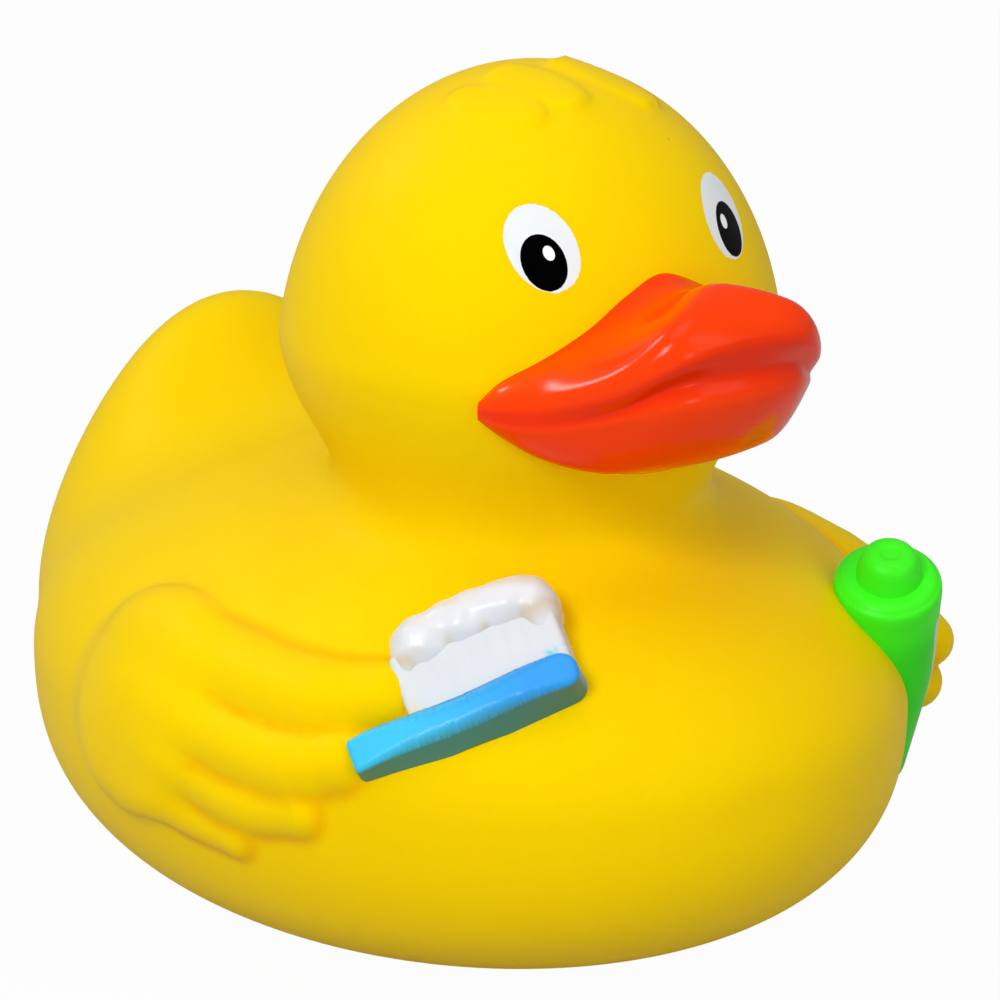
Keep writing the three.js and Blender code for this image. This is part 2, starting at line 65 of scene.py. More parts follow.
body = {
    "halfWidth": 38.4, "halfLength": 46.4, "rise": 21.0, "drop": 22.7, "height": 21.95, "fullness": 2.6,
    "tailHalfWidth": 18.0, "tailHalfLength": 12.0, "tailRise": 29.3, "tailDrop": 11.0,
    "tailBack": 40.0, "tailHeight": 19.35, "tailBlend": 14.4,
}
head = {
    "halfWidth": 23.5, "halfDepth": 22.0, "crown": 28.0, "forward": 10.7, "height": 53.35,
    "cheekRise": 4.0, "cheekDepth": 21.0, "cheekFullness": 1.7, "neckBlend": 9.5,
}


def placed(points):
    return np.asarray(points, float) * mm + duckMiddle


def pick(*objects):  # makes these the only selected objects, the last one active
    bpy.ops.object.select_all(action="DESELECT")
    for item in objects:
        item.select_set(True)
        bpy.context.view_layer.objects.active = item


def newPiece(name):
    piece = bpy.context.object
    piece.name = name
    piece.data.name = name
    return piece


def coordinates(piece):
    points = np.empty(len(piece.data.vertices) * 3)
    piece.data.vertices.foreach_get("co", points)
    return (points.reshape(-1, 3) - duckMiddle) / mm


def setAttribute(piece, name, values):
    attribute = piece.data.attributes.new(name, "FLOAT", "POINT")
    attribute.data.foreach_set("value", np.asarray(values, np.float32))


def setCoordinates(piece, points):
    piece.data.vertices.foreach_set("co", placed(points).ravel())
    piece.data.update()


def applyModifiers(piece):
    pick(piece)
    for modifier in list(piece.modifiers):
        bpy.ops.object.modifier_apply(modifier=modifier.name)


def remesh(piece, voxel):
    modifier = piece.modifiers.new("skin", "REMESH")
    modifier.mode = "VOXEL"
    modifier.voxel_size = voxel * mm
    applyModifiers(piece)


def fuse(pieces, name):
    pick(*pieces)
    bpy.ops.object.join()
    return newPiece(name)


def smooth(piece, angle=None):
    pick(piece)
    if angle is None:
        bpy.ops.object.shade_smooth()
    else:
        bpy.ops.object.shade_smooth_by_angle(angle=math.radians(angle))


# forms that are soft where they meet, given as how far a point lies outside them
def ballField(points, centre, radii, fullness=2.0, flat=False):
    reach = (points - centre) / radii
    level = np.hypot(reach[:, 0], reach[:, 1])
    near = (level ** fullness + np.abs(reach[:, 2]) ** fullness) ** (1 / fullness)
    slope = np.sqrt((((points - centre) / np.square(radii)) ** 2).sum(1)) + 1e-9
    return np.where(near > 1, near * (near - 1) / slope, (near - 1) * min(radii) if flat else near * (near - 1) / slope)


def blend(a, b, radius):
    share = np.maximum(radius - np.abs(a - b), 0) / radius
    return np.minimum(a, b) - share * share * radius / 4


def torsoField(points):
    centre = np.array([0, 0, body["height"]])
    upper = ballField(points, centre, [body["halfWidth"], body["halfLength"], body["rise"]])
    lower = ballField(points, centre, [body["halfWidth"], body["halfLength"], body["drop"]], body["fullness"])
    return np.where(points[:, 2] > body["height"], upper, lower)


def tailField(points):
    centre = np.array([0, body["tailBack"], body["tailHeight"]])
    upper = ballField(points, centre, [body["tailHalfWidth"], body["tailHalfLength"], body["tailRise"]])
    lower = ballField(points, centre, [body["tailHalfWidth"], body["tailHalfLength"], body["tailDrop"]])
    return np.where(points[:, 2] > body["tailHeight"], upper, lower)


def headField(points):
    centre = np.array([0, -head["forward"], head["height"]])
    cheekTop = centre + [0, 0, head["cheekRise"]]
    level = math.sqrt(1 - (head["cheekRise"] / head["crown"]) ** 2)
    upper = ballField(points, centre, [head["halfWidth"], head["halfDepth"], head["crown"]])
    lower = ballField(
        points, cheekTop, [level * head["halfWidth"], level * head["halfDepth"], head["cheekDepth"]],
        head["cheekFullness"])
    return np.where(points[:, 2] > cheekTop[2], upper, lower)


def plainBodyField(points):
    return blend(blend(torsoField(points), tailField(points), body["tailBlend"]), headField(points), head["neckBlend"])


def slopeOf(field, points, step=0.02):
    ahead = [field(points + np.eye(3)[axis] * step) for axis in range(3)]
    behind = [field(points - np.eye(3)[axis] * step) for axis in range(3)]
    return (np.array(ahead) - np.array(behind)).T / (2 * step)


def onBody(side, bearing, lift, proud=0.0):
    up = math.sin(math.radians(lift))
    fullness = 2 if up > 0 else body["fullness"]
    level = (1 - abs(up) ** fullness) ** (1 / fullness)
    place = np.array([
        side * math.sin(math.radians(bearing)) * level * body["halfWidth"],
        -math.cos(math.radians(bearing)) * level * body["halfLength"],
        body["height"] + up * (body["rise"] if up > 0 else body["drop"])])
    outwards = slopeOf(torsoField, place[None])[0]
    return place + proud * outwards / np.linalg.norm(outwards)


def settle(field, points, steps, longest):
    for _ in range(steps):
        slope = slopeOf(field, points)
        move = -slope * (field(points) / np.maximum((slope ** 2).sum(1), 0.1))[:, None]
        length = np.linalg.norm(move, axis=1)
        points = points + move * np.minimum(1, longest / np.maximum(length, 1e-9))[:, None]
    return points


def relaxed(piece, points, share):
    edges = np.empty(len(piece.data.edges) * 2, np.int64)
    piece.data.edges.foreach_get("vertices", edges)
    edges = edges.reshape(-1, 2)
    total = np.zeros_like(points)
    count = np.zeros(len(points))
    for here, there in ((0, 1), (1, 0)):
        for axis in range(3):
            total[:, axis] += np.bincount(edges[:, here], points[edges[:, there], axis], len(points))
        count += np.bincount(edges[:, here], minlength=len(points))
    return points + share * (total / count[:, None] - points)


# smooth line through points, as shares from 0 to 1
def through(points, shares):
    points = np.asarray(points, float)
    place = np.clip(np.asarray(shares, float), 0, 1) * (len(points) - 1)
    start = np.minimum(place.astype(int), len(points) - 2)
    t = (place - start)[:, None]
    p0, p1, p2, p3 = (points[np.clip(start + step, 0, len(points) - 1)] for step in (-1, 0, 1, 2))
    ends = (start == 0)[:, None], (start == len(points) - 2)[:, None]
    p0 = np.where(ends[0], 2 * p1 - p2, p0)
    p3 = np.where(ends[1], 2 * p2 - p1, p3)
    return 0.5 * (2 * p1 + (p2 - p0) * t + (2 * p0 - 5 * p1 + 4 * p2 - p3) * t ** 2 + (3 * p1 - p0 - 3 * p2 + p3) * t ** 3)


wings = {
    # stops are bearing round the body, lift, and how far the finger's middle stands off the body
    "right": [
        ([[103, 29, -4.6], [91, 28.5, -2.9], [77, 27, -2.6], [62, 24.5, -2.2], [51.5, 27.5, -1.4]],
         [2.4, 4, 4.5, 4.4, 3.4]),
        ([[99, 20.5, -4], [86, 15.3, -2.4], [74, 11, -2.1], [63, 8.6, -1.8], [55.5, 12, -1.2]],
         [2.4, 3.6, 3.8, 3.7, 3]),
        ([[96, 12.5, -3.4], [85.5, 5, -1.9], [76, 0, -1.6], [68.5, -3.4, -1.4], [60.5, -2.4, -1]],
         [2, 2.8, 3, 3, 2.5]),
        ([[94, 5.5, -3], [86, -3, -1.5], [78.7, -9.2, -1.3], [69.5, -12.6, -0.9]], [1.8, 2.4, 2.6, 2.1]),
    ],
    "left": [
        ([[103, 22, -4.8], [91, 20.5, -2.9], [79, 16.5, -1.2], [68, 11, 0.8], [56, 6, 2.7]],
         [2.4, 3.8, 4, 3.4, 2.6]),
        ([[99, 19, -4], [86, 12, -2.2], [76, 5, -0.8], [67, 0, 0.8], [57, -4, 1.6]], [2.4, 3.4, 3.4, 3, 2.6]),
        ([[96, 10, -3.4], [86, 2, -1.9], [77, -5, -1.2], [67, -10, -0.6]], [2, 2.8, 3, 2.5]),
        ([[94, 3, -3], [86, -5, -1.5], [79, -12, -1.2], [71, -17, -0.9]], [1.8, 2.4, 2.6, 2.1]),
    ],
    "palm": {"bearing": 87, "halfLength": 9.5, "halfHeight": 10, "depth": 4},
    "palmLift": {-1: 13, 1: -4}, "palmSink": {-1: 2.3, 1: 3.0},
    "fingerSteps": 14, "fingerBlend": 0.9, "palmBlend": 3.2, "palmRootBlend": 2.6, "rootBlend": 0.9,
    "creaseWidth": 1.1,
}


def fingerLine(side, stops, radii):
    shares = np.linspace(0, 1, wings["fingerSteps"] + 1)
    line = through([onBody(side, *stop) for stop in stops], shares)
    place = shares * (len(radii) - 1)
    start = np.minimum(place.astype(int), len(radii) - 2)
    t = place - start
    girth = np.array(radii)[start] + (np.array(radii)[start + 1] - np.array(radii)[start]) * t * t * (3 - 2 * t)
    return line, girth


def barField(points, line, girth):
    nearest = np.full(len(points), 1e9)
    for a, b, ra, rb in zip(line[:-1], line[1:], girth[:-1], girth[1:]):
        t = np.clip((points - a) @ (b - a) / ((b - a) @ (b - a)), 0, 1)
        nearest = np.minimum(nearest, np.linalg.norm(points - a - t[:, None] * (b - a), axis=1) - ra - (rb - ra) * t)
    return nearest


def palmField(points, side):
    palm = wings["palm"]
    place = onBody(side, palm["bearing"], wings["palmLift"][side])
    out = onBody(side, palm["bearing"], wings["palmLift"][side], 1) - place
    back = np.array([0, 1, 0]) - out[1] * out
    back /= np.linalg.norm(back)
    axes = np.array([back, np.cross(out, back), out])
    local = (points - place + wings["palmSink"][side] * out) @ axes.T
    return ballField(local, np.zeros(3), [palm["halfLength"], palm["halfHeight"], palm["depth"]])


fingerLines = {side: [fingerLine(side, *finger) for finger in wings[name]] for side, name in ((-1, "right"), (1, "left"))}


def addWing(plain, points, side):  # the palm is drawn softly into the body, the fingers more crisply
    palm = palmField(points, side)
    fingers = None
    for line, girth in fingerLines[side]:
        bar = barField(points, line, girth)
        fingers = bar if fingers is None else blend(fingers, bar, wings["fingerBlend"])
    onPalm = np.clip((plain - palm) / wings["palmBlend"] + 0.5, 0, 1)
    softness = wings["rootBlend"] + (wings["palmBlend"] - wings["rootBlend"]) * onPalm
    return blend(blend(plain, palm, wings["palmRootBlend"]), fingers, softness)


def creaseOf(points):  # 1 in the crease where two forms of a wing meet, falling to 0 beside it
    crease = np.zeros(len(points))
    for side in (-1, 1):
        near = (points[:, 0] * side > 12) & (points[:, 2] < 48)
        there = points[near]
        fingers = np.sort([barField(there, line, girth) for line, girth in fingerLines[side]], axis=0)
        palm = palmField(there, side)
        wing = np.minimum(palm, fingers[0])
        root = np.maximum(np.abs(plainBodyField(there) - wing), wing)
        gaps = np.minimum(root, np.maximum(fingers[1] - fingers[0], 2 * fingers[0]))
        onPalm = np.clip((fingers[0] - palm) / wings["creaseWidth"] + 0.5, 0, 1)
        depth = np.clip(1 - gaps / wings["creaseWidth"], 0, 1)
        crease[near] = depth * depth * (3 - 2 * depth) * (1 - 0.4 * onPalm)
    return crease


tuft = {
    # place across and forward of the crown, turn and length
    "locks": [(-7, 4.4, 20, 10), (-2.3, 4.2, 17, 12), (5, 4.2, 36, 13)],
    "width": 4.4, "proud": 0.2, "blend": 0.7,
}


def lockAxes(across, forward, turn):
    rise = head["crown"] * math.sqrt(1 - (across / head["halfWidth"]) ** 2 - (forward / head["halfDepth"]) ** 2)
    normal = np.array([across / head["halfWidth"] ** 2, -forward / head["halfDepth"] ** 2, rise / head["crown"] ** 2])
    normal /= np.linalg.norm(normal)
    heading = np.array([-math.sin(math.radians(turn)), math.cos(math.radians(turn)), 0])
    heading -= heading @ normal * normal
    heading /= np.linalg.norm(heading)
    place = np.array([across, -head["forward"] - forward, head["height"] + rise]) - tuft["proud"] * normal
    return place, np.array([np.cross(heading, normal), heading, normal])


def tuftField(points):
    field = None
    for across, forward, turn, length in tuft["locks"]:
        place, axes = lockAxes(across, forward, turn)
        lock = ballField((points - place) @ axes.T, np.zeros(3), [tuft["width"] / 2, length / 2, 2 * tuft["proud"]], flat=True)
        field = lock if field is None else np.minimum(field, lock)
    return field


def duckField(points):
    field = plainBodyField(points)
    for side in (-1, 1):
        near = (points[:, 0] * side > 12) & (points[:, 2] < 48) & (np.abs(field) < 12)
        field[near] = addWing(field[near], points[near], side)
    crown = points[:, 2] > head["height"] + head["crown"] - 6
    field[crown] = blend(field[crown], tuftField(points[crown]), tuft["blend"])
    return field


# ball whose lower half drops less or more than its upper half rises
def addBall(name, centre, radii, drop):
    bpy.ops.mesh.primitive_uv_sphere_add(segments=96, ring_count=60, radius=mm, location=placed(centre))
    bpy.ops.object.mode_set(mode="EDIT")
    bpy.ops.transform.resize(value=radii, center_override=placed(centre))
    bpy.ops.object.mode_set(mode="OBJECT")
    ball = newPiece(name)
    bpy.ops.object.transform_apply()
    bpy.ops.object.mode_set(mode="EDIT")
    bpy.ops.mesh.select_all(action="DESELECT")
    bpy.ops.object.mode_set(mode="OBJECT")
    middle = placed(centre)[2]
    for vertex in ball.data.vertices:
        vertex.select = vertex.co.z < middle - 1e-6
    bpy.ops.object.mode_set(mode="EDIT")
    bpy.ops.transform.resize(value=(1, 1, drop / radii[2]), center_override=placed(centre))
    bpy.ops.object.mode_set(mode="OBJECT")
    return ball


def addBar(name, line, girth):
    curve = bpy.data.curves.new(name, "CURVE")
    curve.dimensions = "3D"
    curve.bevel_depth = mm
    curve.bevel_resolution = 5
    curve.use_fill_caps = True
    spline = curve.splines.new("POLY")
    spline.points.add(len(line) - 1)
    for point, place, radius in zip(spline.points, placed(line), girth):
        point.co = (*place, 1)
        point.radius = radius
    bar = bpy.data.objects.new(name, curve)
    bpy.context.collection.objects.link(bar)
    pick(bar)
    bpy.ops.object.convert(target="MESH")
    return newPiece(name)


def addCylinder(name, radius, low, high):
    bpy.ops.mesh.primitive_cylinder_add(
        vertices=96, radius=radius * mm, depth=(high - low) * mm, location=placed([0, 0, (low + high) / 2]))
    bpy.ops.object.transform_apply()
    return newPiece(name)


def cutAway(piece, cutter):
    modifier = piece.modifiers.new("cut", "BOOLEAN")
    modifier.operation = "DIFFERENCE"
    modifier.object = cutter
    modifier.solver = "MANIFOLD"
    applyModifiers(piece)
    bpy.data.objects.remove(cutter)


# eases what would stand past the sides or the top of the CAD model back inside
def heldIn(points):
    low, high = ((np.array(corner) - duckMiddle) / mm for corner in cadBounds)
    eased = points.copy()
    for axis, ease in enumerate(shell["ease"]):
        over = np.maximum(eased[:, axis] - high[axis] + ease, 0)
        eased[:, axis] += ease * np.tanh(over / ease) - over
        if axis < 2:
            over = np.maximum(low[axis] + ease - eased[:, axis], 0)
            eased[:, axis] -= ease * np.tanh(over / ease) - over
    return eased


def makeMainForms(suffix):
    return [
        addBall("torso" + suffix, [0, 0, body["height"]],
                [body["halfWidth"], body["halfLength"], body["rise"]], body["drop"]),
        addBall("tail" + suffix, [0, body["tailBack"], body["tailHeight"]],
                [body["tailHalfWidth"], body["tailHalfLength"], body["tailRise"]], body["tailDrop"]),
        addBall("head" + suffix, [0, -head["forward"], head["height"]],
                [head["halfWidth"], head["halfDepth"], head["crown"]], head["cheekDepth"] - head["cheekRise"]),
    ]


shell = {
    "voxel": 0.62, "cavityVoxel": 2.6, "wall": 1.8, "baseWall": 2.6,
    "holeRadius": 6.5, "recessRadius": 8.6, "recessDepth": 1.1, "ease": (1.4, 0.5, 0.5),
}


def makeShell():
    forms = makeMainForms("")
    for side in (-1, 1):
        for line, girth in fingerLines[side]:
            forms.append(addBar("finger", line, girth))
            forms.append(addBall("fingertip", line[-1], [girth[-1]] * 3, girth[-1]))
    duck = fuse(forms, "duckShell")
    remesh(duck, shell["voxel"])
    points = coordinates(duck)
    for _ in range(3):
        points = settle(duckField, relaxed(duck, points, 0.5), 2, shell["voxel"])
    points = settle(duckField, points, 2, shell["voxel"])
    setCoordinates(duck, heldIn(points))
    print("shell skin:", len(duck.data.vertices), "vertices")

    cavity = fuse(makeMainForms("Inside"), "cavity")
    remesh(cavity, shell["cavityVoxel"])
    points = coordinates(cavity)
    for _ in range(6):
        points = settle(lambda p: plainBodyField(p) + shell["wall"], relaxed(cavity, points, 0.5), 2, shell["cavityVoxel"])
    points[:, 2] = np.maximum(points[:, 2], shell["baseWall"])
    setCoordinates(cavity, points)

    bpy.ops.mesh.primitive_cube_add(size=200 * mm, location=placed([0, 0, -100]))
    bpy.ops.object.transform_apply()
    cutAway(duck, newPiece("ground"))
    cutAway(duck, cavity)
    cutAway(duck, addCylinder("hole", shell["holeRadius"], -1, 2 * shell["baseWall"]))
    cutAway(duck, addCylinder("recess", shell["recessRadius"], -1, shell["recessDepth"]))
    setAttribute(duck, "crease", creaseOf(coordinates(duck)))
    smooth(duck, 60)
    return duck


bill = {
    "cornerBearing": 47, "reach": 12.0, "rootDepth": 17.0, "buried": 3.0, "clear": 0.25,
    "rings": 120, "upperSteps": 44, "lowerSteps": 30,
    "stations": [0, 0.25, 0.45, 0.7, 0.9, 1],
    # from the middle of the bill to its corner: share of the reach, and height over the head's centre
    "lines": {
        "brow": ([0.02, 0, 0, 0, 0, 0], [12.9, 11.4, 9.2, 6.7, 4.8, 3]),
        "saddle": ([0.24, 0.26, 0.24, 0.16, 0.08, 0.02], [12, 10.5, 8.6, 6.2, 4.5, 2.9]),
        "crest": ([0.7, 0.88, 0.68, 0.33, 0.15, 0.03], [13.6, 11.9, 7.7, 4.7, 3.6, 2.6]),
        "nose": ([1, 0.98, 0.72, 0.36, 0.17, 0.03], [10.4, 9, 5.9, 3.6, 2.9, 2.4]),
        "crease": ([0.85, 0.79, 0.6, 0.345, 0.168, 0.03], [6.8, 6.4, 4, 2.4, 2.2, 2.2]),
        "lowerNose": ([0.84, 0.78, 0.57, 0.33, 0.16, 0.03], [3.8, 3.6, 2.4, 1.2, 1.4, 2]),
        "under": ([0.5, 0.46, 0.34, 0.2, 0.09, 0.02], [-1.6, -1.7, -2.2, -1.3, 0.5, 1.6]),
        "chin": ([0, 0, 0, 0, 0, 0], [-4.6, -4.3, -3.5, -1.8, 0.3, 1.5]),
    },
}


def betweenStations(values, share):
    knots = np.array(bill["stations"])
    knots = np.concatenate([-knots[:0:-1], knots])
    values = np.concatenate([values[:0:-1], values])
    after = int(np.clip(np.searchsorted(knots, share), 1, len(knots) - 1))
    i0, i1, i2, i3 = (int(np.clip(after + step, 0, len(knots) - 1)) for step in (-2, -1, 0, 1))
    span = knots[i2] - knots[i1]
    t = (share - knots[i1]) / span
    slope1 = (values[i2] - values[i0]) / (knots[i2] - knots[i0]) * span
    slope2 = (values[i3] - values[i1]) / (knots[i3] - knots[i1]) * span
    return ((2 * t ** 3 - 3 * t ** 2 + 1) * values[i1] + (t ** 3 - 2 * t ** 2 + t) * slope1
            + (3 * t ** 2 - 2 * t ** 3) * values[i2] + (t ** 3 - t ** 2) * slope2)


def rootRadius(bearing, height):
    up = height / (head["crown"] if height > 0 else bill["rootDepth"])
    return math.sqrt(1 - up * up) / math.hypot(math.sin(bearing) / head["halfWidth"], math.cos(bearing) / head["halfDepth"])


def billProfile(share, bearing):
    stops = {}
    for name, (off, height) in bill["lines"].items():
        rise = betweenStations(np.array(height, float), share)
        reach = betweenStations(np.array(off, float), share) * bill["reach"]
        stops[name] = np.array([rootRadius(bearing, rise) + reach, rise])
    upper = [stops[name] for name in ("brow", "saddle", "crest", "nose", "crease")]
    lower = [stops[name] for name in ("crease", "lowerNose", "under", "chin")]
    outer = np.concatenate([
        through(upper, np.linspace(0, 1, bill["upperSteps"] + 1)),
        through(lower, np.linspace(0, 1, bill["lowerSteps"] + 1))[1:]])
    inset = np.array([bill["buried"], 0])
    return np.concatenate([[outer[0] - inset], outer, [outer[-1] - inset]])


# a sheet of faces wrapped round the bill's profiles and closed along its back
def makeBill():
    count = bill["rings"]
    profiles = []
    for n in range(count + 1):
        share = -math.cos(math.pi * n / count) * 0.999
        bearing = math.radians(share * bill["cornerBearing"])
        profile = billProfile(abs(share), bearing)
        profiles.append(np.column_stack([
            profile[:, 0] * math.sin(bearing), -head["forward"] - profile[:, 0] * math.cos(bearing),
            head["height"] + profile[:, 1]]))
    profiles = np.array(profiles)
    spread = profiles.reshape(-1, 3)
    down = np.tile((np.arange(profiles.shape[1]) - 1) / (bill["upperSteps"] + bill["lowerSteps"]), count + 1)
    clear = bill["clear"] * np.clip(np.minimum(down, 1 - down) / 0.04, 0, 1)
    short = np.where((down > 0) & (down < 1), np.clip(clear - plainBodyField(spread), 0, 2 * bill["clear"]), 0)
    slope = slopeOf(plainBodyField, spread)
    spread = spread + short[:, None] * slope / np.linalg.norm(slope, axis=1)[:, None]
    profiles = spread.reshape(profiles.shape)
    around = np.concatenate([profiles, profiles[:, :1]], axis=1)
    columns, rows = around.shape[:2]
    bpy.ops.mesh.primitive_grid_add(x_subdivisions=columns - 1, y_subdivisions=rows - 1, size=2)
    sheet = newPiece("bill")
    flat = np.empty(len(sheet.data.vertices) * 3)
    sheet.data.vertices.foreach_get("co", flat)
    flat = flat.reshape(-1, 3)
    column = np.rint((flat[:, 0] + 1) / 2 * (columns - 1)).astype(int)
    row = np.rint((flat[:, 1] + 1) / 2 * (rows - 1)).astype(int)
    setCoordinates(sheet, around[column, row])
    setAttribute(sheet, "down", np.clip((row - 1) / (bill["upperSteps"] + bill["lowerSteps"]), 0, 1))
    setAttribute(sheet, "across", np.abs(column / (columns - 1) * 2 - 1))
    bpy.ops.object.mode_set(mode="EDIT")
    bpy.ops.mesh.select_all(action="SELECT")
    bpy.ops.mesh.remove_doubles(threshold=0.01 * mm)
    bpy.ops.mesh.select_all(action="DESELECT")
    bpy.ops.mesh.select_non_manifold()
    bpy.ops.mesh.fill_holes(sides=0)
    bpy.ops.mesh.select_all(action="SELECT")
    bpy.ops.mesh.normals_make_consistent(inside=False)
    bpy.ops.object.mode_set(mode="OBJECT")
    smooth(sheet, 50)
    return sheet


brush = {
    "length": 22.4, "start": 1.2, "thickness": 3.2, "drop": 1.15, "endProud": 2.4, "tipProud": 3.8, "buried": 8.0,
    "cornerRadius": 1.4, "edgeRadius": 0.45, "bristleStart": 7.0, "bristleTop": 5.5, "bristleInset": 0.35,
    "bow": 1.1, "draft": 0.42, "tuftPitch": 1.7, "grooveDepth": 0.16, "voxel": 0.22,
}
handleEnd = onBody(-1, 55, 13.6, brush["endProud"])
handleTip = onBody(-1, 25.5, 32.3, brush["tipProud"])
handleAlong = (handleTip - handleEnd) / np.linalg.norm(handleTip - handleEnd)
handleOut = onBody(-1, 39, 24, 1) - onBody(-1, 39, 24)
handleOut -= handleOut @ handleAlong * handleAlong
handleOut /= np.linalg.norm(handleOut)
handleUp = np.cross(handleOut, handleAlong)


def onBrush(along, out, up):  # millimetres along the handle, out from the breast and up its slope
    return handleEnd + np.outer(along, handleAlong) + np.outer(out, handleOut) + np.outer(up, handleUp)


def setOnBrush(piece, local):
    setCoordinates(piece, onBrush(local[:, 0], local[:, 1], local[:, 2]))


def brushPlaces(points):  # the other way round than onBrush
    return (points - handleEnd) @ np.column_stack([handleAlong, handleOut, handleUp])


# upright slab with a corner radius seen from the front and softly rounded edges
def slabField(local, low, high, corner, edge):
    reach = np.abs(local - (low + high) / 2) - (high - low) / 2
    x, y, z = reach[:, 0] + corner, reach[:, 1] + edge, reach[:, 2] + corner
    plan = np.hypot(np.maximum(x, 0), np.maximum(z, 0)) + np.minimum(np.maximum(x, z), 0) - corner + edge
    return np.hypot(np.maximum(plan, 0), np.maximum(y, 0)) + np.minimum(np.maximum(plan, y), 0) - edge


def makeSlab(name, low, high, field):
    bpy.ops.mesh.primitive_cube_add(size=1)
    block = newPiece(name)
    local = np.empty(len(block.data.vertices) * 3)
    block.data.vertices.foreach_get("co", local)
    setOnBrush(block, (low + high) / 2 + local.reshape(-1, 3) * (high - low))
    remesh(block, brush["voxel"])
    points = coordinates(block)
    for _ in range(3):
        points = settle(lambda p: field(brushPlaces(p)), relaxed(block, points, 0.3), 2, brush["voxel"])
    setCoordinates(block, points)
    smooth(block, 60)
    return block


handleLow = np.array([brush["start"], -brush["buried"], -brush["thickness"] / 2 - brush["drop"]])
handleHigh = np.array([brush["length"], 0, brush["thickness"] / 2 - brush["drop"]])


def unbowed(local):  # places on a straight slab for places on the handle, which is bowed and sloped underneath
    middle = (brush["start"] + brush["length"]) / 2
    fullness = np.maximum(1 - np.square((local[:, 0] - middle) / (brush["length"] - middle)), 0)
    local = local - np.outer(brush["bow"] * fullness, [0, 1, 0])
    under = np.clip((handleHigh[2] - local[:, 2]) / brush["thickness"], 0, 1)
    return local + np.outer(brush["draft"] * np.clip(-local[:, 1], 0, 6) * fullness * under, [0, 0, 1])


def handleField(local):
    corner = np.where(local[:, 0] > brush["length"] / 2, brush["cornerRadius"], 0.4)
    waist = 0.12 * np.sin(0.42 * local[:, 0])
    return slabField(unbowed(local) - np.outer(waist, [0, 0, 1]), handleLow, handleHigh, corner, brush["edgeRadius"])


def makeHandle():
    block = makeSlab("brushHandle", handleLow, handleHigh, handleField)
    local = unbowed(brushPlaces(coordinates(block)))
    setAttribute(block, "along", local[:, 0])
    # marks the handle's underside, which the blue paint turns olive as painted shade and painted reflection
    depth = np.clip((-0.2 - local[:, 1]) / 0.5, 0, 1)
    setAttribute(block, "under", depth * np.clip((handleLow[2] + 0.9 - local[:, 2]) / 0.4, 0, 1))
    return block


bristleLow = np.array([brush["bristleStart"], -brush["buried"], brush["thickness"] / 2 - brush["drop"] - 0.7])
bristleHigh = np.array([brush["length"] - 0.2, -brush["bristleInset"], brush["bristleTop"] + 1])


def bristleField(local):
    turn = (local[:, 0] - bristleLow[0]) / brush["tuftPitch"] * np.pi
    groove = brush["grooveDepth"] * (1 - np.abs(np.sin(turn)) ** 0.35) * (local[:, 1] > -2)
    return slabField(local, bristleLow, bristleHigh, 0.7, 0.6) + groove


def makeBristles():
    block = makeSlab("bristles", bristleLow, bristleHigh, bristleField)
    local = brushPlaces(coordinates(block))
    setAttribute(block, "along", local[:, 0])
    setAttribute(block, "up", local[:, 2])
    return block


paste = {
    # place along the handle, out from its face and up from its line, then half length, depth and height
    "lumps": [
        (10.0, -3.4, 7.2, 2.7, 4.0, 2.6), (12.9, -3.5, 7.7, 3.1, 4.1, 2.5), (15.8, -3.5, 7.8, 3.1, 4.1, 2.5),
        (18.6, -3.5, 7.5, 2.9, 4.0, 2.6), (20.7, -3.4, 6.5, 2.1, 3.8, 2.9),
        (10.4, -1.3, 6.6, 2.6, 2.0, 2.2), (14.4, -1.1, 6.9, 2.3, 1.8, 1.9), (18.2, -1.1, 6.9, 2.9, 1.8, 1.8),
        (20.9, -1.6, 5.6, 1.5, 1.7, 2.6), (8.6, -1.6, 5.6, 0.9, 1.5, 1.6),
    ],
    "blend": 1.05, "waver": 0.07, "foldWidth": 1.1, "voxel": 0.24,
}


def pasteField(local):
    field = None
    for lump in paste["lumps"]:
        ball = ballField(local, np.array(lump[:3]), lump[3:])
        field = ball if field is None else blend(field, ball, paste["blend"])
    return field + paste["waver"] * np.sin(1.9 * local[:, 0] + 1.1 * local[:, 2]) * np.sin(2.3 * local[:, 2] - 0.7 * local[:, 0])


def makePaste():
    lumps = []
    for along, out, up, halfLength, halfDepth, halfHeight in paste["lumps"]:
        bpy.ops.mesh.primitive_uv_sphere_add(segments=48, ring_count=32, radius=1)
        lump = newPiece("lump")
        local = np.empty(len(lump.data.vertices) * 3)
        lump.data.vertices.foreach_get("co", local)
        setOnBrush(lump, local.reshape(-1, 3) * [halfLength, halfDepth, halfHeight] + [along, out, up])
        lumps.append(lump)
    whole = fuse(lumps, "paste")
    remesh(whole, paste["voxel"])
    points = coordinates(whole)
    for _ in range(2):
        points = settle(lambda p: pasteField(brushPlaces(p)), relaxed(whole, points, 0.5), 2, paste["voxel"])
    setCoordinates(whole, points)
    local = brushPlaces(points)
    # marks the folds between lumps, where the paste is painted in shade
    lumpFields = np.sort([ballField(local, np.array(lump[:3]), lump[3:]) for lump in paste["lumps"]], axis=0)
    setAttribute(whole, "foldShade", np.clip(1 - (lumpFields[1] - lumpFields[0]) / paste["foldWidth"], 0, 1))
    setAttribute(whole, "up", local[:, 2])
    smooth(whole)
    return whole


